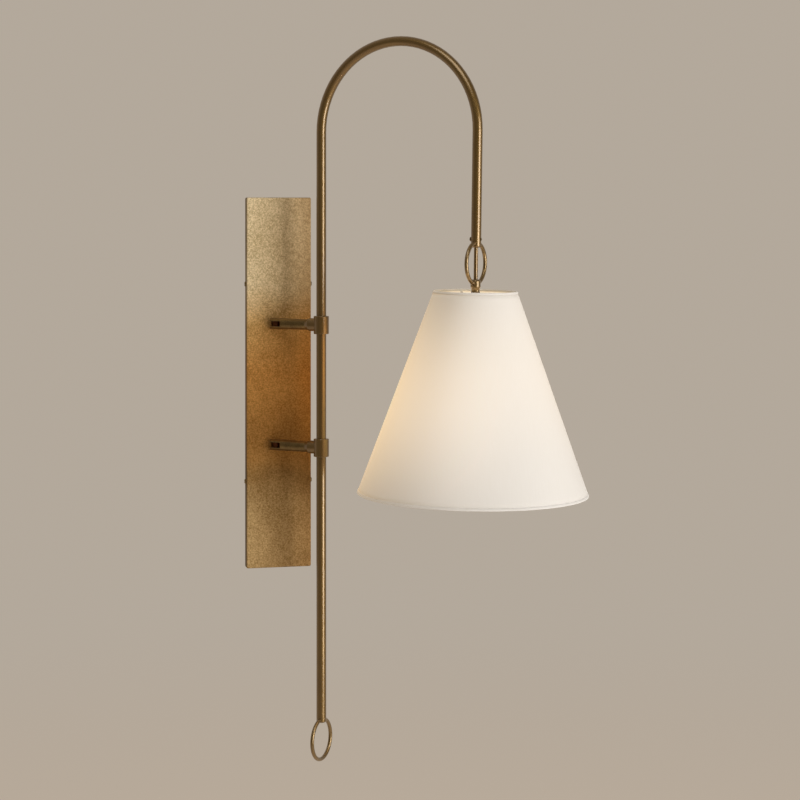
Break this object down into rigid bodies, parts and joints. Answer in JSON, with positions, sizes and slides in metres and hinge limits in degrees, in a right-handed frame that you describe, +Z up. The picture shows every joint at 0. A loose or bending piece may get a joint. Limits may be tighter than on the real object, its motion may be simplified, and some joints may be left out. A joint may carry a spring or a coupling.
{
  "type": "swing arm wall lamp",
  "caption": "Wall lamp with a tall backplate, hinged arms, a cane-shaped tube that turns in their barrels, finger ring and a cone shade hung from the cane's end.",
  "frame": {"origin": "centre of the backplate's back face, on the wall", "axes": "+X along the wall to the right, +Y into the wall, +Z up"},
  "size_m": [0.3764, 0.3397, 0.8816],
  "materials": {
    "aged_brass": "hand rubbed antique brass, satin",
    "zinc_steel": "zinc plated",
    "dark_steel": "blackened",
    "earth_green": "green passivated",
    "cream_enamel": "baked enamel, satin",
    "shade_cloth": "woven cloth on a stiff backing, warm where it is lit from inside",
    "liner_card": "dark insulating liner",
    "bulb_glass": "frosted, lit"
  },
  "bodies": {
    "base": {"backplate": "aged_brass", "wall_strap": "zinc_steel", "side_screws": "aged_brass", "earth_screw": "earth_green", "hinge_lug_upper": "aged_brass", "hinge_lug_lower": "aged_brass", "lug_washer_upper": "zinc_steel", "lug_washer_lower": "zinc_steel", "lug_nut_upper": "zinc_steel", "lug_nut_lower": "zinc_steel"},
    "arms": {"arm_upper": "aged_brass", "arm_lower": "aged_brass", "hinge_pin_upper": "aged_brass", "hinge_pin_lower": "aged_brass", "barrel_upper": "aged_brass", "barrel_lower": "aged_brass", "grub_screw_upper": "dark_steel", "grub_screw_lower": "dark_steel"},
    "lamp": {"cane": "aged_brass", "rod_tip": "aged_brass", "finger_ring": "aged_brass", "leg_tip": "aged_brass", "ring_screw": "aged_brass", "upper_ring": "aged_brass", "wire_tube": "aged_brass", "hub": "aged_brass", "nipple": "zinc_steel", "shade_holder": "cream_enamel", "bottom_ring": "cream_enamel", "shade": "shade_cloth", "top_hem": "shade_cloth", "bottom_hem": "shade_cloth", "holder_cap": "aged_brass", "cap_nut": "zinc_steel", "holder_shell": "aged_brass", "holder_liner": "liner_card", "bulb_cap": "zinc_steel", "bulb_glass": "bulb_glass"}
  },
  "joints": [
    {"name": "arm_swing", "type": "hinge", "parent": "base", "child": "arms", "pos_m": [-0.0045, -0.0215, -0.0012], "axis": [0, 0, 1], "range_deg": [-113, 17]},
    {"name": "cane_turn", "type": "hinge", "parent": "arms", "child": "lamp", "pos_m": [0.04358, -0.06479, -0.0012], "axis": [0, 0, -1], "range_deg": [-21, 117]}
  ]
}
